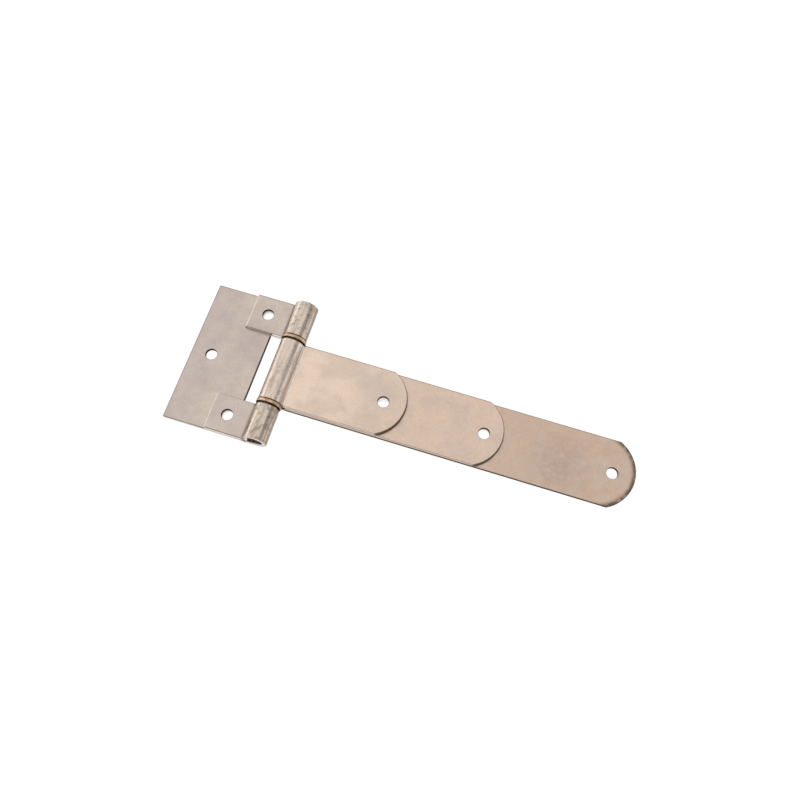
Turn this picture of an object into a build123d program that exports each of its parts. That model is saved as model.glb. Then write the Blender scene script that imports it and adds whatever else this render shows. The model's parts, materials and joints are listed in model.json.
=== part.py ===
"""T hinge for a gate or shed door: a slotted frame leaf, a layered strap, a pin and two thrust washers.

Frame of the model, in millimetres: +X runs from the pin along the strap, +Y runs along the pin,
and +Z points out of the front face. The origin lies on the back plane, straight under the pin's middle.
"""

from build123d import *
import math
import os

# Sheet stock shared by the leaf and the strap
SHEET = 3.0                 # thickness of every plate
SEAM = 0.1                  # gap left between a leaf tab and the plate it is folded down on

# Pin and the eyes rolled round it
PIN_DIAMETER = 10.0
PIN_RECESS = 2.5            # how far each pin end sits inside the leaf's eye
PIN_CHAMFER = 0.8
EYE_CLEARANCE = 0.05        # radial running clearance of the strap's eye on the pin

# Thrust washers between the eyes
WASHER_PROUD = 0.4          # how far a washer's rim stands out from the eyes beside it
WASHER_THICKNESS = 2.5
WASHER_CLEARANCE = 0.08     # radial running clearance on the pin
SIDE_PLAY = 0.125           # axial gap on each side of each washer
WASHER_EDGE = 0.3           # rounding of a washer's rim

# Frame leaf
LEAF_HEIGHT = 100.0         # along the pin
LEAF_REACH = 63.5           # from the pin's axis to the plate's far edge
TAB_REACH = 35.0            # from the pin's axis to the end of a folded tab
SLOT_REACH = 17.5           # from the pin's axis to the bottom of the slot
LEAF_FOLD_RADIUS = 0.8      # inside radius where a tab turns up into its eye

# Strap, made of one folded sheet and one plate between its two layers
STRAP_WIDTH = 44.5
BACK_LAYER_REACH = 236.5    # from the pin's axis to the tip of each layer
MIDDLE_LAYER_REACH = 149.5
TOP_LAYER_REACH = 84.5
TIP_RISE = 13.6             # from the shoulders of a rounded tip to its end
STRAP_FOLD_RADIUS = 2.0     # inside radius where the top layer turns up into the eye
MIDDLE_LAYER_GAP = 0.5      # from the start of the flat under the top layer to the middle plate
TIP_EDGE = 0.5              # rounding of the front edge of each tip

# Screw holes, each set in from the end of its tab, plate or layer
SCREW_HOLE = 7.5
TAB_HOLE_INSET = 11.5
PLATE_HOLE_INSET = 13.5
BACK_HOLE_INSET = 15.0
MIDDLE_HOLE_INSET = 12.5
TOP_HOLE_INSET = 15.0

# Derived sizes
PIN_RADIUS = PIN_DIAMETER / 2
EYE_OUTER_RADIUS = PIN_RADIUS + SHEET
PIN_HEIGHT = EYE_OUTER_RADIUS                   # axis height above the back plane
PIN_LENGTH = LEAF_HEIGHT - 2 * PIN_RECESS
WASHER_RADIUS = EYE_OUTER_RADIUS + WASHER_PROUD
WASHER_INNER = STRAP_WIDTH / 2 + SIDE_PLAY      # start of a washer, from the middle of the pin
WASHER_OUTER = WASHER_INNER + WASHER_THICKNESS
EYE_START = WASHER_OUTER + SIDE_PLAY            # start of a leaf eye, and half the slot's width
EYE_LENGTH = LEAF_HEIGHT / 2 - EYE_START
TAB_MIDDLE = EYE_START + EYE_LENGTH / 2         # middle of a tab, from the middle of the pin
STRAP_HOLE_REACHES = (
    BACK_LAYER_REACH - BACK_HOLE_INSET,
    MIDDLE_LAYER_REACH - MIDDLE_HOLE_INSET,
    TOP_LAYER_REACH - TOP_HOLE_INSET,
)


def polar(centre, radius, degrees):
    """Point at an angle on a circle, in the plane of an eye's section (x, z)."""
    angle = math.radians(degrees)
    return (centre[0] + radius * math.cos(angle), centre[1] + radius * math.sin(angle))


def arc(centre, radius, start, end):
    """Arc on a circle from one angle to another, in degrees."""
    points = [polar(centre, radius, start + share * (end - start)) for share in (0, 0.5, 1)]
    return ThreePointArc(*points)


def fold_centre(tab_bottom, fold_radius):
    """Centre of the arc that turns a tab up into its eye, tangent to the eye and to the tab's top."""
    height = tab_bottom + SHEET + fold_radius
    reach = EYE_OUTER_RADIUS + fold_radius
    return (-math.sqrt(reach ** 2 - (height - PIN_HEIGHT) ** 2), height)


def rolled_section(plate_start, tab_end, tab_bottom, fold_radius):
    """Section of a sheet that lies flat, rolls once round the pin and folds back over itself.

    The flat comes from x = -plate_start, rolls under the pin and up the far side, and the tab
    goes back to x = -tab_end with its lower face at z = tab_bottom.
    """
    tab_top = tab_bottom + SHEET
    eye = (0, PIN_HEIGHT)
    fold_outer_radius = fold_radius + SHEET
    fold = fold_centre(tab_bottom, fold_radius)
    meeting = math.degrees(math.atan2(fold[1] - eye[1], fold[0] - eye[0])) % 360
    outer_edge = (
        Line((-plate_start, 0), (0, 0))
        + arc(eye, EYE_OUTER_RADIUS, -90, meeting)
        + arc(fold, fold_radius, meeting - 180, -90)
        + Line((fold[0], tab_top), (-tab_end, tab_top))
    )
    inner_edge = (
        Line((-tab_end, tab_bottom), (fold[0], tab_bottom))
        + arc(fold, fold_outer_radius, -90, meeting - 180)
        + arc(eye, PIN_RADIUS, meeting, -90)
        + Line((0, SHEET), (-plate_start, SHEET))
    )
    closing_edges = (
        Line((-tab_end, tab_top), (-tab_end, tab_bottom))
        + Line((-plate_start, SHEET), (-plate_start, 0))
    )
    return make_face((outer_edge + inner_edge + closing_edges).edges())


def rolled_sheet(section, start, length):
    """Solid of a rolled section, running along the pin from y = start."""
    return extrude(Plane.XZ.offset(-start) * section, amount=-length)


def block(low, high):
    """Box between two opposite corners."""
    size = [top - bottom for bottom, top in zip(low, high)]
    return Pos(*low) * Box(*size, align=(Align.MIN, Align.MIN, Align.MIN))


def round_tipped_plate(start, reach, bottom):
    """Strap layer: a plate with a rounded tip, its front edge eased along the arc."""
    half = STRAP_WIDTH / 2
    shoulder = reach - TIP_RISE
    outline = (
        Polyline((shoulder, -half), (start, -half), (start, half), (shoulder, half))
        + ThreePointArc((shoulder, half), (reach, 0), (shoulder, -half))
    )
    plate = Pos(0, 0, bottom) * extrude(make_face(outline.edges()), amount=SHEET)
    tip_edges = plate.edges().filter_by(GeomType.CIRCLE).group_by(Axis.Z)[-1]
    return fillet(tip_edges, TIP_EDGE)


def screw_hole(x, y):
    """Cutter for a hole square to the plates, longer than every stack of layers."""
    return Pos(x, y, 0) * Cylinder(SCREW_HOLE / 2, 4 * EYE_OUTER_RADIUS)


def make_frame_leaf():
    """Slotted plate whose two end strips roll round the pin and fold down as tabs."""
    half = LEAF_HEIGHT / 2
    section = rolled_section(SLOT_REACH, TAB_REACH, SHEET + SEAM, LEAF_FOLD_RADIUS)
    leaf = block((-LEAF_REACH, -half, 0), (-SLOT_REACH, half, SHEET))
    for start in (-half, EYE_START):
        leaf += rolled_sheet(section, start, EYE_LENGTH)
    leaf -= screw_hole(PLATE_HOLE_INSET - LEAF_REACH, 0)
    for side in (-1, 1):
        leaf -= screw_hole(TAB_HOLE_INSET - TAB_REACH, side * TAB_MIDDLE)
    return leaf


def top_layer_start():
    """Distance from the pin's axis at which the strap's top layer becomes flat."""
    return -fold_centre(2 * SHEET, STRAP_FOLD_RADIUS)[0]


def make_strap():
    """Long back layer that rolls round the pin and returns as the short top layer."""
    top_bottom = 2 * SHEET
    join = top_layer_start() + SHEET
    section = rolled_section(join, join, top_bottom, STRAP_FOLD_RADIUS)
    eye = Rot(0, 0, 180) * rolled_sheet(section, -STRAP_WIDTH / 2, STRAP_WIDTH)
    strap = eye + round_tipped_plate(join, BACK_LAYER_REACH, 0)
    strap += round_tipped_plate(join, TOP_LAYER_REACH, top_bottom)
    strap -= Pos(0, 0, PIN_HEIGHT) * Rot(90, 0, 0) * Cylinder(PIN_RADIUS + EYE_CLEARANCE, LEAF_HEIGHT)
    for reach in STRAP_HOLE_REACHES:
        strap -= screw_hole(reach, 0)
    return strap


def make_middle_plate():
    """Loose-cut plate spot welded between the strap's back and top layers."""
    start = top_layer_start() + MIDDLE_LAYER_GAP
    plate = round_tipped_plate(start, MIDDLE_LAYER_REACH, SHEET)
    for reach in STRAP_HOLE_REACHES:
        plate -= screw_hole(reach, 0)
    return plate


def make_pin():
    """Plain hinge pin, held by the leaf's two eyes."""
    pin = Cylinder(PIN_RADIUS, PIN_LENGTH)
    pin = chamfer(pin.edges().filter_by(GeomType.CIRCLE), PIN_CHAMFER)
    return Pos(0, 0, PIN_HEIGHT) * Rot(90, 0, 0) * pin


def make_washer(side):
    """Thrust washer between a leaf eye and the strap's eye, on one side of the middle."""
    washer = Cylinder(WASHER_RADIUS, WASHER_THICKNESS)
    washer = fillet(washer.edges().filter_by(GeomType.CIRCLE), WASHER_EDGE)
    washer -= Cylinder(PIN_RADIUS + WASHER_CLEARANCE, WASHER_THICKNESS)
    middle = side * (WASHER_INNER + WASHER_OUTER) / 2
    return Pos(0, middle, PIN_HEIGHT) * Rot(90, 0, 0) * washer


PARTS = {
    "frame_leaf": make_frame_leaf(),
    "hinge_pin": make_pin(),
    "upper_washer": make_washer(1),
    "lower_washer": make_washer(-1),
    "strap": make_strap(),
    "strap_middle_plate": make_middle_plate(),
}

os.makedirs("parts", exist_ok=True)
for name, shape in PARTS.items():
    export_step(shape, f"parts/{name}.step")
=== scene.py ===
"""Looks for the T hinge: folded sheet steel, a turned pin and brass washers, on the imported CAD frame."""

import json
import math

import bmesh
import bpy
from mathutils import Matrix, Vector


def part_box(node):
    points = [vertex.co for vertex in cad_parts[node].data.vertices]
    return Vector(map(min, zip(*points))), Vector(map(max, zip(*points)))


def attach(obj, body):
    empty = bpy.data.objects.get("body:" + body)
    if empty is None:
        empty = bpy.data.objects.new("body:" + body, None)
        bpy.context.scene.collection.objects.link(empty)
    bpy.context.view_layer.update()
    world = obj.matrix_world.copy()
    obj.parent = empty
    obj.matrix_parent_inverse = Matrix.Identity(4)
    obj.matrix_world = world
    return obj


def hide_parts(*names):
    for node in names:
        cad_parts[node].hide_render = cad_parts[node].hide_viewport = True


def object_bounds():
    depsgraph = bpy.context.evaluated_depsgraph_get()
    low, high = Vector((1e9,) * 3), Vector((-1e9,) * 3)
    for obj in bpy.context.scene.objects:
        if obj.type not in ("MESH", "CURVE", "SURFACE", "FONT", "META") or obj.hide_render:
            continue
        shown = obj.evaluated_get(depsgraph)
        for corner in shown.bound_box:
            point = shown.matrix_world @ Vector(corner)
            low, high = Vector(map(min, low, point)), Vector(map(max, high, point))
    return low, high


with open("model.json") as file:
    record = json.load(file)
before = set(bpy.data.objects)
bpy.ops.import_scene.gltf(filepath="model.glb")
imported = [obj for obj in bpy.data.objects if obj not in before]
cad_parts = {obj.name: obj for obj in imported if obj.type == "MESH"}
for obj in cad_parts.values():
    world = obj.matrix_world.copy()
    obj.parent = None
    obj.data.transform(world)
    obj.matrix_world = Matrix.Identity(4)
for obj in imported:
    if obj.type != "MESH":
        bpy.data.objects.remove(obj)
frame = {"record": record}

CAD_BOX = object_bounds()
MM = 0.001

# Sizes read from the frame, in metres
LEAF_LOW, LEAF_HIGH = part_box("frame_leaf")
_, STRAP_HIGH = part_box("strap")
MIDDLE_LOW, MIDDLE_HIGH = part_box("strap_middle_plate")
_, PIN_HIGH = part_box("hinge_pin")
SHEET = MIDDLE_HIGH.z - MIDDLE_LOW.z
PIN_RADIUS = PIN_HIGH.x
EYE_RADIUS = LEAF_HIGH.x                    # outside of a rolled eye
AXIS_HEIGHT = EYE_RADIUS                    # the eyes touch the back plane
STRAP_HALF = STRAP_HIGH.y
HALF_HEIGHT = LEAF_HIGH.y
MOUNTS = frame["record"]["mounts"]

# Sizes of features inside those boxes
SEAM = 0.1 * MM
TAB_REACH = 35 * MM
SLOT_REACH = 17.5 * MM
SLOT_HALF = 25 * MM
LEAF_FOLD_RADIUS = 0.8 * MM
STRAP_FOLD_RADIUS = 2.0 * MM
TOP_LAYER_REACH = 84.5 * MM
TIP_RISE = 13.6 * MM
TIP_RADIUS = (STRAP_HALF ** 2 + TIP_RISE ** 2) / (2 * TIP_RISE)
EDGE_RADIUS = 0.45 * MM                     # rounding left by shearing and tumbling
EDGE_STEPS = 3
SHARP_ANGLE = math.radians(35)              # edges that turn more than this are rounded
ARC_STEP = math.radians(4)
FACETS = 90                                 # sides of a full round
SUPPORT = 0.5 * MM                          # short flat kept beside each bend
CLEAR = 3 * EYE_RADIUS                      # far enough for a cutter to pass right through
MARGIN = 1 * MM                             # how far a cutter reaches past what it trims
PIN_CHAMFER = 0.8 * MM
WASHER_BORE = PIN_RADIUS + 0.08 * MM
WASHER_EASE = 0.3 * MM


# ---------------------------------------------------------------- node helpers

def add_node(tree, kind, settings=None, **values):
    """New node, with its settings, its socket values and its links."""
    made = tree.nodes.new(kind)
    for name, value in (settings or {}).items():
        setattr(made, name, value)
    for name, value in values.items():
        socket = made.inputs[name.replace("_", " ")]
        if isinstance(value, bpy.types.NodeSocket):
            tree.links.new(value, socket)
        else:
            socket.default_value = value
    return made


def geometry_tree(name, **sockets):
    """Geometry node tree with named inputs.

    Returns the tree, the outlets of its inputs and a function that ends it.
    """
    tree = bpy.data.node_groups.new(name, "GeometryNodeTree")
    tree.interface.new_socket("Geometry", in_out="INPUT", socket_type="NodeSocketGeometry")
    for label, kind in sockets.items():
        tree.interface.new_socket(label.replace("_", " "), in_out="INPUT", socket_type=kind)
    tree.interface.new_socket("Geometry", in_out="OUTPUT", socket_type="NodeSocketGeometry")
    start = tree.nodes.new("NodeGroupInput")
    end = tree.nodes.new("NodeGroupOutput")

    def finish(geometry):
        whole = add_node(tree, "GeometryNodeRealizeInstances", Geometry=geometry)
        metal = start.outputs["Material"]
        painted = add_node(tree, "GeometryNodeSetMaterial", Geometry=whole.outputs[0], Material=metal)
        tree.links.new(painted.outputs[0], end.inputs[0])

    return tree, start.outputs, finish


def run_tree(source, tree, name, **values):
    """Plain mesh that the tree makes from the source object. The source is removed."""
    modifier = source.modifiers.new(tree.name, "NODES")
    modifier.node_group = tree
    for item in tree.interface.items_tree:
        label = item.name.replace(" ", "_")
        if item.in_out == "INPUT" and label in values:
            modifier[item.identifier] = values[label]
    bpy.context.view_layer.update()
    shape = source.evaluated_get(bpy.context.evaluated_depsgraph_get())
    mesh = bpy.data.meshes.new_from_object(shape)
    mesh.name = name
    bpy.data.objects.remove(source)
    piece = bpy.data.objects.new(name, mesh)
    bpy.context.scene.collection.objects.link(piece)
    return piece


# ---------------------------------------------------------------- shape helpers

def arc_points(centre, radius, start, end):
    """Points along an arc in a plane, angles in radians, ends included."""
    steps = max(2, math.ceil(abs(end - start) / ARC_STEP))
    angles = [start + (end - start) * i / steps for i in range(steps + 1)]
    return [(centre[0] + radius * math.cos(a), centre[1] + radius * math.sin(a)) for a in angles]


def path_object(name, points, radii=None, closed=False):
    """Curve object with one straight-run spline through the points."""
    curve = bpy.data.curves.new(name, "CURVE")
    curve.dimensions = "3D"
    spline = curve.splines.new("POLY")
    spline.points.add(len(points) - 1)
    for i, point in enumerate(points):
        spline.points[i].co = (*point, 1)
        spline.points[i].radius = radii[i] if radii else 1
    spline.use_cyclic_u = closed
    made = bpy.data.objects.new(name, curve)
    bpy.context.scene.collection.objects.link(made)
    return made


def rolled_path(plate_reach, tab_reach, tab_level, fold_radius, side):
    """Middle line of a sheet that runs in flat, rolls round the pin and folds back as a tab.

    side is -1 for a plate that comes from -X and 1 for one that comes from +X.
    """
    middle = SHEET / 2
    eye = (0, AXIS_HEIGHT)
    eye_radius = EYE_RADIUS - middle
    fold = fold_radius + middle
    fold_height = tab_level + SHEET + fold_radius
    fold_centre = (-math.sqrt((eye_radius + fold) ** 2 - (fold_height - AXIS_HEIGHT) ** 2), fold_height)
    meeting = math.atan2(fold_height - AXIS_HEIGHT, fold_centre[0]) % math.tau
    flat = tab_level + middle
    points = [(-plate_reach, middle), (-SUPPORT, middle)]
    points += arc_points(eye, eye_radius, -math.pi / 2, meeting)
    points += arc_points(fold_centre, fold, meeting - math.pi, -math.pi / 2)[1:]
    points += [(fold_centre[0] - SUPPORT, flat), (-tab_reach, flat)]
    return [(-side * x, 0, z) for x, z in points]


def prism(mesh, outline, low, high):
    """Adds a closed prism to a bmesh, from its outline in the plane of the plates."""
    bottom = [mesh.verts.new((x, y, low)) for x, y in outline]
    face = mesh.faces.new(bottom)
    grown = bmesh.ops.extrude_face_region(mesh, geom=[face])["geom"]
    top = [part for part in grown if isinstance(part, bmesh.types.BMVert)]
    bmesh.ops.translate(mesh, verts=top, vec=(0, 0, high - low))


def slab(mesh, low, high):
    """Adds a block between two corners."""
    outline = [(low[0], low[1]), (high[0], low[1]), (high[0], high[1]), (low[0], high[1])]
    prism(mesh, outline, low[2], high[2])


def tip_waste(mesh, reach, low, high):
    """Adds what is cut away round the rounded tip of a strap layer."""
    turn = math.asin((STRAP_HALF + MARGIN) / TIP_RADIUS)
    outline = arc_points((reach - TIP_RADIUS, 0), TIP_RADIUS, -turn, turn)
    outline += [(reach + MARGIN, STRAP_HALF + MARGIN), (reach + MARGIN, -STRAP_HALF - MARGIN)]
    prism(mesh, outline, low, high)


def screw_holes(low_x, high_x):
    """Bores between two places along the hinge, as they stand in the record."""
    bores = [mount for mount in MOUNTS if mount["kind"] == "bore"]
    return [bore for bore in bores if low_x < bore["pos_m"][0] < high_x]


def points_object(name, points):
    """Hidden object with loose points, for a tree to put instances on."""
    mesh = bpy.data.meshes.new(name)
    mesh.from_pydata(points, [], [])
    made = bpy.data.objects.new(name, mesh)
    bpy.context.scene.collection.objects.link(made)
    return made


def cutter_object(name, fill):
    """Hidden object with the waste of one sheet, drawn by fill(mesh)."""
    mesh = bmesh.new()
    fill(mesh)
    bmesh.ops.recalc_face_normals(mesh, faces=mesh.faces)
    data = bpy.data.meshes.new(name)
    mesh.to_mesh(data)
    mesh.free()
    made = bpy.data.objects.new(name, data)
    bpy.context.scene.collection.objects.link(made)
    return made


def sheet_tree():
    """Sheet metal that follows a path, less its sheared waste and a round punch at each hole."""
    tree, inlets, finish = geometry_tree(
        "rolled_sheet", Width="NodeSocketFloat", Sheet="NodeSocketFloat", Waste="NodeSocketObject",
        Holes="NodeSocketObject", Hole_Radius="NodeSocketFloat", Punch_Length="NodeSocketFloat",
        Facets="NodeSocketInt", Material="NodeSocketMaterial",
    )
    section = add_node(
        tree, "GeometryNodeCurvePrimitiveQuadrilateral", Width=inlets["Width"], Height=inlets["Sheet"]
    )
    sweep = add_node(
        tree, "GeometryNodeCurveToMesh", Curve=inlets["Geometry"], Profile_Curve=section.outputs[0],
        Fill_Caps=True,
    )
    space = {"transform_space": "RELATIVE"}
    waste = add_node(tree, "GeometryNodeObjectInfo", space, Object=inlets["Waste"])
    places = add_node(tree, "GeometryNodeObjectInfo", space, Object=inlets["Holes"])
    punch = add_node(
        tree, "GeometryNodeMeshCylinder", Vertices=inlets["Facets"], Radius=inlets["Hole Radius"],
        Depth=inlets["Punch Length"],
    )
    punches = add_node(
        tree, "GeometryNodeInstanceOnPoints", Points=places.outputs["Geometry"],
        Instance=punch.outputs["Mesh"],
    )
    solid_punches = add_node(tree, "GeometryNodeRealizeInstances", Geometry=punches.outputs[0])
    cut = add_node(
        tree, "GeometryNodeMeshBoolean", {"operation": "DIFFERENCE", "solver": "EXACT"},
        Mesh_1=sweep.outputs[0], Mesh_2=waste.outputs["Geometry"], Self_Intersection=True,
    )
    tree.links.new(solid_punches.outputs[0], cut.inputs["Mesh 2"])
    finish(cut.outputs[0])
    return tree


def turned_tree():
    """Bar turned about its own straight line, as thick at each point as the line says."""
    tree, inlets, finish = geometry_tree(
        "turned_bar", Facets="NodeSocketInt", Material="NodeSocketMaterial"
    )
    section = add_node(tree, "GeometryNodeCurvePrimitiveCircle", Resolution=inlets["Facets"], Radius=1.0)
    thickness = add_node(tree, "GeometryNodeInputRadius")
    sweep = add_node(
        tree, "GeometryNodeCurveToMesh", Curve=inlets["Geometry"], Profile_Curve=section.outputs[0],
        Scale=thickness.outputs[0], Fill_Caps=True,
    )
    finish(sweep.outputs[0])
    return tree


def ring_tree():
    """Flat ring with eased rims, swept round its middle line."""
    tree, inlets, finish = geometry_tree(
        "thrust_ring", Wall="NodeSocketFloat", Thickness="NodeSocketFloat", Ease="NodeSocketFloat",
        Material="NodeSocketMaterial",
    )
    section = add_node(
        tree, "GeometryNodeCurvePrimitiveQuadrilateral", Width=inlets["Wall"], Height=inlets["Thickness"]
    )
    eased = add_node(tree, "GeometryNodeFilletCurve", Curve=section.outputs[0], Radius=inlets["Ease"])
    sweep = add_node(
        tree, "GeometryNodeCurveToMesh", Curve=inlets["Geometry"], Profile_Curve=eased.outputs[0],
        Fill_Caps=False,
    )
    finish(sweep.outputs[0])
    return tree


def ease_edges(piece):
    """Rounds the sharp edges and leaves the flats flat."""
    for face in piece.data.polygons:
        face.use_smooth = True
    bevel = piece.modifiers.new("eased_edges", "BEVEL")
    bevel.width = EDGE_RADIUS
    bevel.segments = EDGE_STEPS
    bevel.limit_method = "ANGLE"
    bevel.angle_limit = SHARP_ANGLE
    bevel.use_clamp_overlap = False
    bevel.harden_normals = True
    bpy.context.view_layer.update()
    shape = piece.evaluated_get(bpy.context.evaluated_depsgraph_get())
    mesh = bpy.data.meshes.new_from_object(shape)
    piece.modifiers.clear()
    piece.data = mesh


# ---------------------------------------------------------------- materials

# Places of marks on the steel, in metres along the hinge and along the pin
COOL_PATCH = (-28 * MM, 15 * MM)
DULL_PATCH = (66 * MM, 5 * MM)
HANDLED_PATCH = (188 * MM, -4 * MM)
HOLE_EDGE = 0.3 * MM                        # how far a hole's marks reach past its wall
# The tops of the hole walls get painted shade, from the first depth below to the second
LIP_START = 2.8 * MM                        # below the surface, where a hole's wall begins to darken
LIP_FULL = 1.6 * MM                         # and where it is fully dark
PER_LAYER = (1, 1, 6)                       # gives each layer of a fold clouds of its own

# Colours, as shares of red, green and blue
WHITE = (1, 1, 1)
BLACK = (0, 0, 0)
SPECKLE = (0.33, 0.26, 0.21)
DRAWN_STREAK = (0.30, 0.22, 0.16)
EYE_SIDE_SHADE = (0.17, 0.135, 0.11)
# The next two are painted shade of the gaps beside the washers
GAP_SHADE_BLACK = (0.02, 0.012, 0.008)
GAP_SHADE_BROWN = (0.16, 0.08, 0.04)

LEAF_GREY = (0.565, 0.485, 0.455)
LEAF_BEIGE = (0.68, 0.575, 0.485)
LEAF_MAUVE = (0.54, 0.455, 0.43)
LEAF_SHADE = (0.49, 0.41, 0.375)
LEAF_RIM = (0.17, 0.135, 0.115)
LEAF_BARE_AND_HIGHLIGHT = (0.76, 0.69, 0.64)
LEAF_SHADOW = (0.03, 0.024, 0.021)
TAB_END_HIGHLIGHT = (0.95, 0.88, 0.82)
LEAF_EYE = (0.72, 0.62, 0.525)
LEAF_STAIN = (0.22, 0.16, 0.11)
LEAF_BORE_LIGHT = (0.95, 0.92, 0.88)

STRAP_NEAR = (0.87, 0.69, 0.56)
STRAP_FAR = (0.63, 0.465, 0.36)
MIDDLE_NEAR = (0.72, 0.56, 0.445)
MIDDLE_FAR = (0.75, 0.57, 0.455)
STRAP_CLOUD = (0.62, 0.50, 0.43)
STRAP_HANDLED = (0.42, 0.31, 0.25)
STRAP_DULLED = (0.63, 0.52, 0.45)
STRAP_TIP_DARK = (0.12, 0.09, 0.07)
STRAP_RIM = (0.17, 0.13, 0.10)
STRAP_SIDE_SHADE = (0.10, 0.08, 0.06)
STRAP_SEAM_AND_STEP_SHADE = (0.09, 0.07, 0.055)
STRAP_HOLE_HIGHLIGHT = (0.95, 0.90, 0.86)
STRAP_LIP_SHADE = (0.02, 0.016, 0.014)
STRAP_EYE = (0.77, 0.65, 0.555)
STRAP_EYE_HIGHLIGHT = (0.90, 0.80, 0.74)
STRAP_STAIN = (0.27, 0.19, 0.15)

PIN_BRIGHT = (0.80, 0.77, 0.74)
PIN_GREY = (0.68, 0.63, 0.59)
PIN_RING = (0.45, 0.40, 0.36)
PIN_END_SHADE = (0.06, 0.05, 0.045)
BRASS = (0.72, 0.50, 0.33)
BRASS_TARNISH = (0.5, 0.33, 0.2)
BRASS_GAP_SHADE = (0.09, 0.05, 0.025)


def blank_material(name):
    """Material with its node tree, its shader and the piece's own coordinates."""
    material = bpy.data.materials.new(name)
    material.use_nodes = True
    tree = material.node_tree
    coords = add_node(tree, "ShaderNodeTexCoord").outputs["Object"]
    return material, tree, tree.nodes["Principled BSDF"], coords


def axis_of(tree, vector, axis):
    """One component of a vector."""
    return add_node(tree, "ShaderNodeSeparateXYZ", Vector=vector).outputs[axis]


def calc(tree, operation, *values):
    """One sum on numbers or on outlets."""
    made = add_node(tree, "ShaderNodeMath", {"operation": operation})
    for socket, value in zip(made.inputs, values):
        if isinstance(value, bpy.types.NodeSocket):
            tree.links.new(value, socket)
        else:
            socket.default_value = value
    return made.outputs[0]


def blend_colours(tree, share, first, second):
    """Colour between two colours or colour outlets."""
    made = add_node(tree, "ShaderNodeMix", {"data_type": "RGBA", "clamp_factor": True})
    for socket, value in ((made.inputs[0], share), (made.inputs[6], first), (made.inputs[7], second)):
        if isinstance(value, bpy.types.NodeSocket):
            tree.links.new(value, socket)
        elif isinstance(value, tuple):
            socket.default_value = (*value, 1)
        else:
            socket.default_value = value
    return made.outputs[2]


def fade(tree, value, low, high, start=0.0, end=1.0):
    """Value eased from one level to another between two limits."""
    made = add_node(
        tree, "ShaderNodeMapRange", {"interpolation_type": "SMOOTHSTEP"}, Value=value, From_Min=low,
        From_Max=high, To_Min=start, To_Max=end,
    )
    return made.outputs[0]


def mottle(tree, coords, size, detail=2.0, seed=0.0, stretch=(1, 1, 1)):
    """Cloudy value from 0 to 1, with blotches of about the given size in metres."""
    shift = (seed, seed / 3, -seed / 2)
    placed = add_node(tree, "ShaderNodeMapping", Vector=coords, Scale=stretch, Location=shift)
    made = add_node(
        tree, "ShaderNodeTexNoise", Vector=placed.outputs[0], Scale=1 / size, Detail=detail,
        Roughness=0.55,
    )
    return made.outputs["Fac"]


def near_circle(tree, coords, centre, radius, reach):
    """1 inside a circle about a vertical axis, fading to 0 at a distance outside it."""
    flat = add_node(tree, "ShaderNodeVectorMath", {"operation": "MULTIPLY"}, Vector=coords)
    flat.inputs[1].default_value = (1, 1, 0)
    away = add_node(tree, "ShaderNodeVectorMath", {"operation": "DISTANCE"})
    tree.links.new(flat.outputs[0], away.inputs[0])
    away.inputs[1].default_value = (centre[0], centre[1], 0)
    return fade(tree, away.outputs["Value"], radius, radius + reach, 1, 0)


def from_axis(tree, coords):
    """Distance from the pin's axis."""
    placed = add_node(tree, "ShaderNodeVectorMath", {"operation": "MULTIPLY"}, Vector=coords)
    placed.inputs[1].default_value = (1, 0, 1)
    away = add_node(tree, "ShaderNodeVectorMath", {"operation": "DISTANCE"})
    tree.links.new(placed.outputs[0], away.inputs[0])
    away.inputs[1].default_value = (0, 0, AXIS_HEIGHT)
    return away.outputs["Value"]


def opposite(tree, mask):
    """1 where a mask is 0, and 0 where it is 1."""
    return calc(tree, "SUBTRACT", 1, mask)


def product(tree, first, *others):
    """Product of masks and numbers."""
    whole = first
    for mask in others:
        whole = calc(tree, "MULTIPLY", whole, mask)
    return whole


def strongest(tree, masks):
    """Largest of several masks."""
    whole = masks[0]
    for mask in masks[1:]:
        whole = calc(tree, "MAXIMUM", whole, mask)
    return whole


def hole_masks(tree, coords, low_x, high_x):
    """Two masks for the screw holes between two places: their walls, and their tops for painted shade."""
    z = axis_of(tree, coords, "Z")
    walls = []
    lips = []
    for bore in screw_holes(low_x, high_x):
        around = near_circle(tree, coords, bore["pos_m"], bore["dims"]["r_mm"] * MM, HOLE_EDGE)
        top = bore["pos_m"][2] + bore["dims"]["length_mm"] * MM / 2
        walls.append(around)
        lips.append(product(tree, around, fade(tree, z, top - LIP_START, top - LIP_FULL)))
    return strongest(tree, walls), strongest(tree, lips)


def edge_masks(tree):
    """Two masks: 1 on the eased corners of a sheet, and 1 on its sheared edges."""
    normal = add_node(tree, "ShaderNodeTexCoord").outputs["Normal"]
    upright = calc(tree, "ABSOLUTE", axis_of(tree, normal, "Z"))
    sheared = fade(tree, upright, 0.1, 0.4, 1, 0)
    corners = calc(tree, "SUBTRACT", fade(tree, upright, 0.6, 0.97, 1, 0), sheared)
    return corners, sheared


def line_mask(tree, coords, axis, level, reach):
    """1 at a level along an axis, fading out within a distance."""
    away = calc(tree, "ABSOLUTE", calc(tree, "SUBTRACT", axis_of(tree, coords, axis), level))
    return fade(tree, away, reach / 2, reach, 1, 0)


def tip_ring(tree, coords, reach, inside, outside):
    """1 along the round of a strap layer's tip, fading out within two distances of its edge."""
    centre = (reach - TIP_RADIUS, 0)
    beyond = opposite(tree, near_circle(tree, coords, centre, TIP_RADIUS - inside, inside * 0.8))
    within = near_circle(tree, coords, centre, TIP_RADIUS, outside)
    past = fade(tree, axis_of(tree, coords, "X"), reach - TIP_RISE - 2 * inside, reach - TIP_RISE)
    return product(tree, beyond, within, past)


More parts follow.
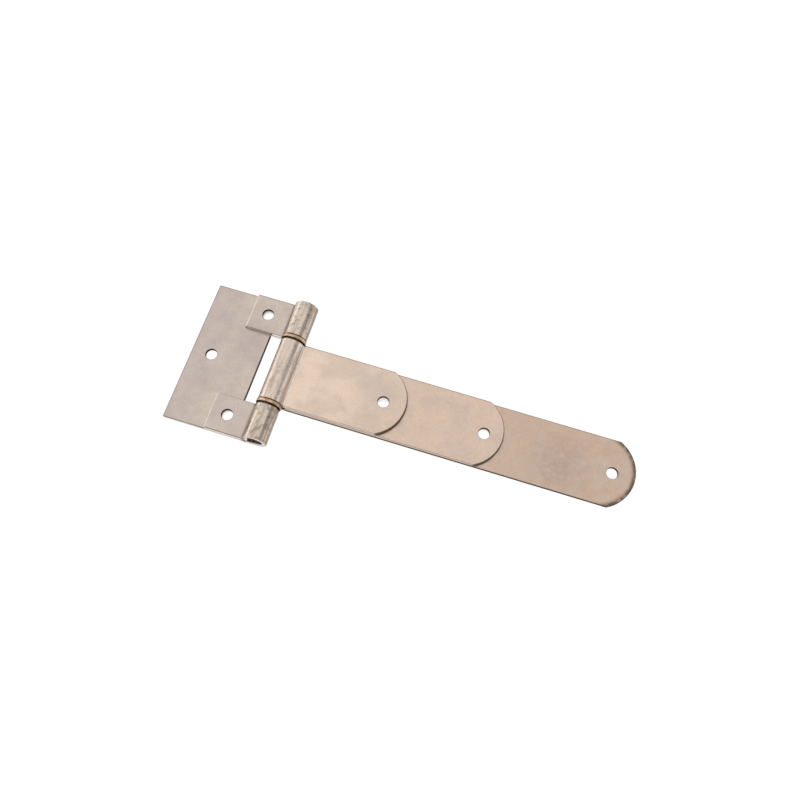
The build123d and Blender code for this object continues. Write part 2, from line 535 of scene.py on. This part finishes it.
def barrel_mask(tree, coords):
    """1 on the rolled eyes, 0 on the flats."""
    across = calc(tree, "ABSOLUTE", axis_of(tree, coords, "X"))
    return fade(tree, across, EYE_RADIUS, 1.3 * EYE_RADIUS, 1, 0)


def plate_side(tree, coords):
    """1 on the side of the eyes that faces the leaf's plate."""
    x = axis_of(tree, coords, "X")
    return fade(tree, x, -0.86 * EYE_RADIUS, -0.77 * EYE_RADIUS, 1, 0)


def relief(tree, shader, height, depth):
    """Bump of a given depth in metres."""
    bump = add_node(tree, "ShaderNodeBump", Height=height, Distance=depth, Strength=1.0)
    tree.links.new(bump.outputs[0], shader.inputs["Normal"])


def steel_surface(tree, shader, coords, colour, painted_shade, roughness, streak, burnish):
    """Shared finish of the rolled sheet: fine speckle, drawn streaks on the eyes and uneven polish.

    The eyes are smoother than the flats by the burnish. The painted-shade mask takes the shine off,
    even at a glancing angle.
    """
    speckle = mottle(tree, coords, 1.1 * MM, 3, 2)
    colour = blend_colours(tree, fade(tree, speckle, 0.35, 0.7, 0, 0.16), colour, SPECKLE)
    drawn = mottle(tree, coords, 1.8 * MM, 3, 5, (1, 0.07, 1))
    on_eye = barrel_mask(tree, coords)
    share = product(tree, fade(tree, drawn, 0.42, 0.68, 0, streak), on_eye)
    colour = blend_colours(tree, share, colour, DRAWN_STREAK)
    tree.links.new(colour, shader.inputs["Base Color"])
    tint = blend_colours(tree, painted_shade, WHITE, BLACK)
    tree.links.new(tint, shader.inputs["Specular Tint"])
    polish = mottle(tree, coords, 6 * MM, 2, 8)
    uneven = fade(tree, polish, 0.3, 0.7, roughness - 0.05, roughness + 0.07)
    burnished = calc(tree, "SUBTRACT", uneven, product(tree, on_eye, burnish))
    tree.links.new(burnished, shader.inputs["Roughness"])
    _, sheared = edge_masks(tree)
    grain = product(tree, mottle(tree, coords, 0.35 * MM, 2, 1), fade(tree, sheared, 0, 1, 1, 0.3))
    lines = product(tree, drawn, on_eye, 2)
    relief(tree, shader, calc(tree, "ADD", grain, lines), 0.012 * MM)
    shader.inputs["Metallic"].default_value = 1


def washer_gap_shade(tree, coords, colour, black_line_level, brown_line_level):
    """Painted shade of the gaps by a washer: a black line round the eyes at one level of the pin, and a
    thin brown line at another.

    Returns the colour and the mask of the black line.
    """
    on_eye = barrel_mask(tree, coords)
    # Painted shade of the gaps beside the washers
    painted_shade = product(tree, line_mask(tree, coords, "Y", black_line_level, 1.5 * MM), on_eye)
    brown_line = product(tree, line_mask(tree, coords, "Y", brown_line_level, 0.6 * MM), on_eye)
    colour = blend_colours(tree, painted_shade, colour, GAP_SHADE_BLACK)
    return blend_colours(tree, brown_line, colour, GAP_SHADE_BROWN), painted_shade


def leaf_flats(tree, coords):
    """Warm grey sheet with beige heat clouds, beige by the slot and mauve in one patch."""
    clouds = fade(tree, mottle(tree, coords, 22 * MM, 2, 0.35, PER_LAYER), 0.38, 0.62, 0, 0.5)
    near_slot = fade(tree, axis_of(tree, coords, "X"), -56 * MM, -34 * MM, 0, 0.5)
    warmth = calc(tree, "ADD", clouds, near_slot)
    colour = blend_colours(tree, warmth, LEAF_GREY, LEAF_BEIGE)
    cooled = product(tree, near_circle(tree, coords, COOL_PATCH, 4 * MM, 18 * MM), 0.7)
    colour = blend_colours(tree, cooled, colour, LEAF_MAUVE)
    shade = fade(tree, mottle(tree, coords, 8 * MM, 3, 1.4, PER_LAYER), 0.35, 0.75, 0, 0.35)
    return blend_colours(tree, shade, colour, LEAF_SHADE)


def leaf_rims(tree, coords, colour):
    """Dark rims round the leaf's flats; exposed metal with a painted highlight on sheared edges and hole
    walls.
    """
    x = axis_of(tree, coords, "X")
    up_or_down = calc(tree, "ABSOLUTE", axis_of(tree, coords, "Y"))
    flats = opposite(tree, barrel_mask(tree, coords))
    corners, sheared = edge_masks(tree)
    walls, _ = hole_masks(tree, coords, LEAF_LOW.x, 0)
    outline = strongest(tree, [
        fade(tree, up_or_down, HALF_HEIGHT - 0.9 * MM, HALF_HEIGHT - 0.3 * MM),
        fade(tree, x, LEAF_LOW.x + 0.3 * MM, LEAF_LOW.x + 0.9 * MM, 1, 0),
    ])
    rims = product(tree, strongest(tree, [corners, outline]), flats, 0.75)
    colour = blend_colours(tree, rims, colour, LEAF_RIM)
    # Sheared edges and hole walls: exposed metal, lightened further as a painted highlight
    bare_and_highlight = product(tree, strongest(tree, [sheared, walls]), flats)
    return blend_colours(tree, bare_and_highlight, colour, LEAF_BARE_AND_HIGHLIGHT)


def leaf_steps(tree, coords, colour):
    """Painted highlight on the tab ends, and painted shade along the slot, at the foot of the tabs and
    at the top of the hole walls.

    Returns the colour and the mask of the painted shade.
    """
    z = axis_of(tree, coords, "Z")
    up_or_down = calc(tree, "ABSOLUTE", axis_of(tree, coords, "Y"))
    beside_slot = fade(tree, up_or_down, SLOT_HALF - 0.6 * MM, SLOT_HALF, 1, 0)
    slot_side = product(tree, line_mask(tree, coords, "X", -SLOT_REACH, 0.6 * MM), beside_slot, 0.8)
    past_slot = opposite(tree, beside_slot)
    tab_end = product(tree, line_mask(tree, coords, "X", -TAB_REACH, 0.9 * MM), past_slot)
    on_tab = fade(tree, z, SHEET + SEAM / 2, SHEET + SEAM)
    # Painted highlight along the end of each tab
    colour = blend_colours(tree, product(tree, tab_end, on_tab, 0.7), colour, TAB_END_HIGHLIGHT)
    on_plate = fade(tree, z, SHEET - 0.4 * MM, SHEET - 0.1 * MM)
    # Painted shadow on the plate at the foot of each tab
    tab_shadow = product(tree, tab_end, opposite(tree, on_tab), on_plate, 0.8)
    _, lips = hole_masks(tree, coords, LEAF_LOW.x, 0)
    dark = strongest(tree, [slot_side, tab_shadow, lips])
    return blend_colours(tree, dark, colour, LEAF_SHADOW), dark


def leaf_eyes(tree, coords, colour):
    """Polished, stained eyes; painted shade on the sides and by the washers, painted light in the bore.

    Returns the colour and the mask of the black painted shade by the washers.
    """
    on_eye = barrel_mask(tree, coords)
    colour = blend_colours(tree, product(tree, on_eye, 0.75), colour, LEAF_EYE)
    stain = fade(tree, mottle(tree, coords, 3 * MM, 4, 7.2), 0.5, 0.68, 0, 0.6)
    up_or_down = calc(tree, "ABSOLUTE", axis_of(tree, coords, "Y"))
    inward = fade(tree, up_or_down, HALF_HEIGHT - 0.5 * MM, HALF_HEIGHT - 0.2 * MM, 1, 0.2)
    colour = blend_colours(tree, product(tree, stain, on_eye, inward), colour, LEAF_STAIN)
    x = axis_of(tree, coords, "X")
    # Painted shade in the fold beside the plate, and a painted dark reflection on the far side
    far_side = fade(tree, x, 0.86 * EYE_RADIUS, 0.98 * EYE_RADIUS, 0, 0.8)
    side_shade = product(tree, strongest(tree, [plate_side(tree, coords), far_side]), on_eye)
    colour = blend_colours(tree, side_shade, colour, EYE_SIDE_SHADE)
    # Painted light on the inside of the eyes, round the pin
    bore = fade(tree, from_axis(tree, coords), PIN_RADIUS + 0.1 * MM, PIN_RADIUS + 0.3 * MM, 1, 0)
    colour = blend_colours(tree, bore, colour, LEAF_BORE_LIGHT)
    return washer_gap_shade(tree, coords, colour, -SLOT_HALF, SLOT_HALF)


def leaf_steel_finish():
    """Warm grey sheet with heat clouds, dark rims and stained eyes."""
    material, tree, shader, coords = blank_material("leaf_steel_finish")
    colour = leaf_rims(tree, coords, leaf_flats(tree, coords))
    colour, dark = leaf_steps(tree, coords, colour)
    colour, painted_shade = leaf_eyes(tree, coords, colour)
    dull = strongest(tree, [dark, painted_shade])
    steel_surface(tree, shader, coords, colour, dull, roughness=0.3, streak=0.6, burnish=0.08)
    return material


def strap_flats(tree, coords, near, far):
    """One tone near the pin and another far from it, with clouds, two worn patches and a darker tip."""
    wobble = product(tree, mottle(tree, coords, 30 * MM, 2, 0.8), 60 * MM)
    along = fade(tree, calc(tree, "ADD", axis_of(tree, coords, "X"), wobble), 30 * MM, 200 * MM)
    colour = blend_colours(tree, along, near, far)
    clouds = fade(tree, mottle(tree, coords, 18 * MM, 2, 2.3, PER_LAYER), 0.42, 0.62, 0, 0.45)
    colour = blend_colours(tree, clouds, colour, STRAP_CLOUD)
    scuffs = mottle(tree, coords, 3.5 * MM, 4, 3.1)
    handled = near_circle(tree, coords, HANDLED_PATCH, 2 * MM, 26 * MM)
    handled = product(tree, handled, fade(tree, scuffs, 0.3, 0.65, 0.3, 1), 0.55)
    colour = blend_colours(tree, handled, colour, STRAP_HANDLED)
    dulled = product(tree, near_circle(tree, coords, DULL_PATCH, 2 * MM, 20 * MM), 0.6)
    colour = blend_colours(tree, dulled, colour, STRAP_DULLED)
    dark_tip = tip_ring(tree, coords, STRAP_HIGH.x, 4 * MM, 1 * MM)
    dark_tip = product(tree, dark_tip, fade(tree, scuffs, 0.3, 0.6, 0.5, 1))
    return blend_colours(tree, dark_tip, colour, STRAP_TIP_DARK)


def layer_steps(tree, coords):
    """1 round the tips of the top and middle layer, where each steps down to the next, for painted shade.
    """
    z = axis_of(tree, coords, "Z")
    steps = []
    for reach, foot in ((TOP_LAYER_REACH, 2 * SHEET), (MIDDLE_HIGH.x, SHEET)):
        above = fade(tree, z, foot - 0.5 * MM, foot - 0.2 * MM)
        steps.append(product(tree, tip_ring(tree, coords, reach, 0.6 * MM, 0.9 * MM), above))
    return strongest(tree, steps)


def strap_edges(tree, coords, colour):
    """Dark rims and seams, painted shade on the sheared sides, round the steps and at the top of the
    hole walls, and a painted highlight on the hole walls.

    Returns the colour and the mask of the painted shade, which doesn't shine.
    """
    flats = opposite(tree, barrel_mask(tree, coords))
    corners, sheared = edge_masks(tree)
    walls, lips = hole_masks(tree, coords, 0, STRAP_HIGH.x)
    outline = fade(tree, axis_of(tree, coords, "Y"), STRAP_HALF - 0.8 * MM, STRAP_HALF - 0.3 * MM)
    rims = strongest(tree, [corners, outline])
    rims = product(tree, rims, flats, opposite(tree, sheared), 0.8)
    colour = blend_colours(tree, rims, colour, STRAP_RIM)
    # Painted shade on the sheared sides, deepest on the bottom layer
    depth = fade(tree, axis_of(tree, coords, "Z"), 0.6 * SHEET, 1.2 * SHEET, 0.85, 0.12)
    shaded = product(tree, sheared, flats, opposite(tree, walls), depth)
    colour = blend_colours(tree, shaded, colour, STRAP_SIDE_SHADE)
    seams = [line_mask(tree, coords, "Z", level * SHEET, 0.6 * MM) for level in (1, 2)]
    seams = product(tree, strongest(tree, seams), sheared, flats)
    # Dark seams between the layers, and painted shade round the steps
    dark = strongest(tree, [seams, product(tree, layer_steps(tree, coords), 0.8)])
    colour = blend_colours(tree, dark, colour, STRAP_SEAM_AND_STEP_SHADE)
    # Near-white hole walls: painted highlight
    colour = blend_colours(tree, walls, colour, STRAP_HOLE_HIGHLIGHT)
    # Painted shade at the top of the hole walls
    colour = blend_colours(tree, lips, colour, STRAP_LIP_SHADE)
    return colour, strongest(tree, [lips, shaded])


def strap_eye(tree, coords, colour):
    """Polished, stained eye, palest where the strap leaves it as a painted highlight, with painted
    shade on the side by the plate and beside the washers.

    Returns the colour and the mask of the black painted shade by the washers.
    """
    on_eye = barrel_mask(tree, coords)
    colour = blend_colours(tree, product(tree, on_eye, 0.8), colour, STRAP_EYE)
    x = axis_of(tree, coords, "X")
    # Painted highlight on the side where the strap leaves the eye
    root_highlight = product(tree, fade(tree, x, 0.4 * EYE_RADIUS, 0.8 * EYE_RADIUS, 0, 0.8), on_eye)
    colour = blend_colours(tree, root_highlight, colour, STRAP_EYE_HIGHLIGHT)
    stain = fade(tree, mottle(tree, coords, 3 * MM, 4, 9.6), 0.52, 0.7, 0, 0.4)
    colour = blend_colours(tree, product(tree, stain, on_eye), colour, STRAP_STAIN)
    # Painted shade on the side towards the leaf's plate
    side_shade = product(tree, plate_side(tree, coords), on_eye)
    colour = blend_colours(tree, side_shade, colour, EYE_SIDE_SHADE)
    return washer_gap_shade(tree, coords, colour, STRAP_HALF, -STRAP_HALF)


def strap_steel_finish(name, near, far):
    """Peach-coloured sheet that turns from one tone to another towards the free end."""
    material, tree, shader, coords = blank_material(name)
    colour = strap_flats(tree, coords, near, far)
    colour, unlit = strap_edges(tree, coords, colour)
    colour, painted_shade = strap_eye(tree, coords, colour)
    dull = strongest(tree, [unlit, painted_shade])
    steel_surface(tree, shader, coords, colour, dull, roughness=0.33, streak=0.45, burnish=0.02)
    return material


def pin_steel_finish():
    """Turned bar, with fine tool rings round its side and its ends, and painted shade on the ends."""
    material, tree, shader, coords = blank_material("pin_steel_finish")
    turned = add_node(
        tree, "ShaderNodeCombineXYZ", X=from_axis(tree, coords), Y=axis_of(tree, coords, "Y")
    )
    rings = mottle(tree, turned.outputs[0], 0.4 * MM, 2, 1)
    stain = mottle(tree, coords, 4 * MM, 2, 4)
    colour = blend_colours(tree, fade(tree, stain, 0.35, 0.7), PIN_BRIGHT, PIN_GREY)
    colour = blend_colours(tree, fade(tree, rings, 0.4, 0.65, 0, 0.3), colour, PIN_RING)
    up_or_down = calc(tree, "ABSOLUTE", axis_of(tree, coords, "Y"))
    ends = fade(tree, up_or_down, PIN_HIGH.y - 0.5 * MM, PIN_HIGH.y - 0.1 * MM)
    # Painted shade on the ends, which sit back inside the eyes
    end_shade = product(tree, ends, fade(tree, stain, 0.3, 0.7, 1, 0.8))
    colour = blend_colours(tree, end_shade, colour, PIN_END_SHADE)
    tree.links.new(colour, shader.inputs["Base Color"])
    tree.links.new(blend_colours(tree, end_shade, WHITE, BLACK), shader.inputs["Specular Tint"])
    tree.links.new(fade(tree, stain, 0.3, 0.7, 0.3, 0.42), shader.inputs["Roughness"])
    relief(tree, shader, rings, 0.003 * MM)
    shader.inputs["Metallic"].default_value = 1
    return material


def washer_brass_finish():
    """Tarnished brass, darker at both faces as painted shade of the gaps beside the eyes."""
    material, tree, shader, coords = blank_material("washer_brass_finish")
    stain = mottle(tree, coords, 2.5 * MM, 3, 6)
    colour = blend_colours(tree, fade(tree, stain, 0.35, 0.7), BRASS, BRASS_TARNISH)
    low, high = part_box("upper_washer")
    middle = (low.y + high.y) / 2
    half = (high.y - low.y) / 2
    up_or_down = calc(tree, "ABSOLUTE", axis_of(tree, coords, "Y"))
    across = calc(tree, "ABSOLUTE", calc(tree, "SUBTRACT", up_or_down, middle))
    # Painted shade of the gaps at both faces of the washer
    gap_shade = fade(tree, across, half - 0.6 * MM, half - 0.1 * MM)
    colour = blend_colours(tree, gap_shade, colour, BRASS_GAP_SHADE)
    tree.links.new(colour, shader.inputs["Base Color"])
    tree.links.new(fade(tree, stain, 0.3, 0.7, 0.3, 0.5), shader.inputs["Roughness"])
    relief(tree, shader, mottle(tree, coords, 0.4 * MM, 2, 3), 0.02 * MM)
    shader.inputs["Metallic"].default_value = 1
    return material


# ---------------------------------------------------------------- pieces

def hand_over(piece, node, body):
    """Puts a finished piece in the place of its CAD node."""
    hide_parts(node)
    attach(piece, body)


def make_sheet_piece(name, path, width, waste, bores, material):
    """One piece of sheet metal: swept, cut to shape, punched and eased at its edges."""
    cutter = cutter_object(name + "_waste", waste)
    holes = points_object(name + "_holes", [(*bore["pos_m"][:2], 0) for bore in bores])
    piece = run_tree(
        path_object(name + "_path", path), SHEET_TREE, name, Width=width, Sheet=SHEET, Waste=cutter,
        Holes=holes, Hole_Radius=bores[0]["dims"]["r_mm"] * MM, Punch_Length=2 * CLEAR,
        Facets=FACETS, Material=material,
    )
    bpy.data.objects.remove(cutter)
    bpy.data.objects.remove(holes)
    ease_edges(piece)
    return piece


def make_leaf(material):
    """Slotted plate whose two end strips roll round the pin and fold down as tabs."""
    path = rolled_path(-LEAF_LOW.x, TAB_REACH, SHEET + SEAM, LEAF_FOLD_RADIUS, -1)

    def waste(mesh):
        slab(mesh, (-SLOT_REACH, -SLOT_HALF, -CLEAR), (CLEAR, SLOT_HALF, CLEAR))
        between_tabs = (-TAB_REACH - MARGIN, -SLOT_HALF, SHEET + SEAM / 2)
        slab(mesh, between_tabs, (EYE_RADIUS, SLOT_HALF, CLEAR + MARGIN))

    bores = screw_holes(LEAF_LOW.x, 0)
    return make_sheet_piece("frame_leaf_metal", path, 2 * HALF_HEIGHT, waste, bores, material)


def make_strap(material):
    """Long back layer that rolls round the pin and returns as the short top layer."""
    path = rolled_path(STRAP_HIGH.x, TOP_LAYER_REACH, 2 * SHEET, STRAP_FOLD_RADIUS, 1)

    def waste(mesh):
        tip_waste(mesh, STRAP_HIGH.x, -CLEAR, 1.5 * SHEET)
        tip_waste(mesh, TOP_LAYER_REACH, 1.5 * SHEET, CLEAR)

    bores = screw_holes(0, STRAP_HIGH.x)
    return make_sheet_piece("strap_metal", path, 2 * STRAP_HALF, waste, bores, material)


def make_middle_plate(material):
    """Flat plate between the strap's two layers."""
    level = (MIDDLE_LOW.z + MIDDLE_HIGH.z) / 2
    path = [(MIDDLE_LOW.x, 0, level), (MIDDLE_HIGH.x, 0, level)]

    def waste(mesh):
        tip_waste(mesh, MIDDLE_HIGH.x, -CLEAR, CLEAR)

    bores = screw_holes(MIDDLE_LOW.x, MIDDLE_HIGH.x)
    return make_sheet_piece("middle_plate_metal", path, 2 * STRAP_HALF, waste, bores, material)


def make_pin(material):
    """Straight pin with a small chamfer at each end."""
    half = PIN_HIGH.y
    profile = [(half, PIN_RADIUS - PIN_CHAMFER), (half - PIN_CHAMFER, PIN_RADIUS)]
    profile += [(-y, radius) for y, radius in reversed(profile)]
    points = [(0, y, AXIS_HEIGHT) for y, _ in profile]
    path = path_object("pin_path", points, [radius for _, radius in profile])
    return run_tree(path, turned_tree(), "hinge_pin_metal", Facets=FACETS, Material=material)


def make_washer(node, material):
    """Thrust washer, as thick and as wide as the frame's own."""
    low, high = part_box(node)
    middle = (low.y + high.y) / 2
    wall = high.x - WASHER_BORE
    turn = arc_points((0, AXIS_HEIGHT), WASHER_BORE + wall / 2, 0, math.tau)[:-1]
    path = path_object(node + "_path", [(x, middle, z) for x, z in turn], closed=True)
    return run_tree(
        path, RING_TREE, node + "_metal", Wall=wall, Thickness=high.y - low.y, Ease=WASHER_EASE,
        Material=material,
    )


SHEET_TREE = sheet_tree()
RING_TREE = ring_tree()
leaf_steel = leaf_steel_finish()
strap_steel = strap_steel_finish("strap_steel_finish", STRAP_NEAR, STRAP_FAR)
middle_steel = strap_steel_finish("middle_steel_finish", MIDDLE_NEAR, MIDDLE_FAR)
pin_steel = pin_steel_finish()
washer_brass = washer_brass_finish()

hand_over(make_leaf(leaf_steel), "frame_leaf", "leaf")
hand_over(make_strap(strap_steel), "strap", "strap_arm")
hand_over(make_middle_plate(middle_steel), "strap_middle_plate", "strap_arm")
hand_over(make_pin(pin_steel), "hinge_pin", "leaf")
for node, body in (("upper_washer", "upper_thrust_washer"), ("lower_washer", "lower_thrust_washer")):
    hand_over(make_washer(node, washer_brass), node, body)


# ---------------------------------------------------------------- studio

CAMERA_AZIMUTH = -75.53                     # degrees
CAMERA_ELEVATION = 68.89                    # degrees
CAMERA_ROLL = 2.95                          # degrees
CAMERA_DISTANCE = 0.540
CAMERA_LENS = 37.1                          # focal length for the sensor below, both in millimetres
CAMERA_SENSOR = 36
CAMERA_SHIFT = (-8 * MM, 7.8 * MM)          # from the middle of the hinge
FLOOR_HALF = 4.0
FLOOR_GREY = (0.25, 0.25, 0.25, 1)
FLOOR_GLOW = 0.82
SWING_CLEARANCE = 15 * MM                   # left under the strap when it hangs straight down
SKY_DIMS_FROM = 0.25                        # heights on a globe of radius 1
SKY_DIM_BY = 0.4
HORIZON_LIGHT = 0.95
ZENITH_LIGHT = 0.42


def aim(thing, seat, target, roll=0):
    """Puts a light or camera at its seat, looking at the target."""
    gaze = (Vector(target) - Vector(seat)).to_track_quat("-Z", "Y").to_matrix().to_4x4()
    thing.matrix_world = Matrix.Translation(seat) @ gaze @ Matrix.Rotation(roll, 4, "Z")


def sphere_point(centre, azimuth, elevation, distance):
    """Place at a distance from a centre, in a direction given in degrees."""
    azimuth = math.radians(azimuth)
    elevation = math.radians(elevation)
    level = distance * math.cos(elevation)
    offset = (level * math.cos(azimuth), level * math.sin(azimuth), distance * math.sin(elevation))
    return Vector(centre) + Vector(offset)


def add_camera():
    """Camera high over the hinge's lower side, a little rolled."""
    centre = [(a + b) / 2 for a, b in zip(*CAD_BOX)]
    target = (centre[0] + CAMERA_SHIFT[0], centre[1] + CAMERA_SHIFT[1], 0)
    data = bpy.data.cameras.new("camera")
    data.lens = CAMERA_LENS
    data.sensor_width = CAMERA_SENSOR
    camera = bpy.data.objects.new("camera", data)
    bpy.context.scene.collection.objects.link(camera)
    seat = sphere_point(target, CAMERA_AZIMUTH, CAMERA_ELEVATION, CAMERA_DISTANCE)
    aim(camera, seat, target, math.radians(CAMERA_ROLL))
    bpy.context.scene.camera = camera


def add_floor():
    """Glowing white table, far enough below for the strap to swing clear of it."""
    mesh = bpy.data.meshes.new("floor")
    level = AXIS_HEIGHT - STRAP_HIGH.x - SWING_CLEARANCE
    signs = ((-1, -1), (1, -1), (1, 1), (-1, 1))
    corners = [(FLOOR_HALF * x, FLOOR_HALF * y, level) for x, y in signs]
    mesh.from_pydata(corners, [], [(0, 1, 2, 3)])
    floor = bpy.data.objects.new("floor", mesh)
    bpy.context.scene.collection.objects.link(floor)
    material = bpy.data.materials.new("floor_paper")
    material.use_nodes = True
    shader = material.node_tree.nodes["Principled BSDF"]
    shader.inputs["Base Color"].default_value = FLOOR_GREY
    shader.inputs["Roughness"].default_value = 0.9
    shader.inputs["Emission Color"].default_value = (1, 1, 1, 1)
    shader.inputs["Emission Strength"].default_value = FLOOR_GLOW
    mesh.materials.append(material)


def add_softbox(name, seat, target, size, radiance):
    """Area light of a given size and brightness, in metres and as a share of white."""
    data = bpy.data.lights.new(name, "AREA")
    data.shape = "RECTANGLE"
    data.size, data.size_y = size
    data.energy = radiance * math.pi * size[0] * size[1]
    light = bpy.data.objects.new(name, data)
    bpy.context.scene.collection.objects.link(light)
    aim(light, seat, target)


def add_world():
    """Sky, bright at the horizon and dimmer above, so that the rolled eyes show a dark stripe."""
    world = bpy.data.worlds.new("studio")
    world.use_nodes = True
    tree = world.node_tree
    height = axis_of(tree, add_node(tree, "ShaderNodeTexCoord").outputs["Generated"], "Z")
    strength = fade(tree, height, SKY_DIMS_FROM, SKY_DIM_BY, HORIZON_LIGHT, ZENITH_LIGHT)
    tree.links.new(strength, tree.nodes["Background"].inputs["Strength"])
    tree.nodes["Background"].inputs["Color"].default_value = (1, 1, 1, 1)
    bpy.context.scene.world = world


add_camera()
add_floor()
add_softbox("overhead", (-0.5, 0.2, 1.5), (-0.5, 0.2, 0), (3.2, 3.0), 0.56)
add_softbox("left_side", (-2.0, 0.7, 0.75), (0, 0.7, 0.75), (2.4, 1.5), 0.55)
add_world()
bpy.context.scene.view_settings.view_transform = "Standard"
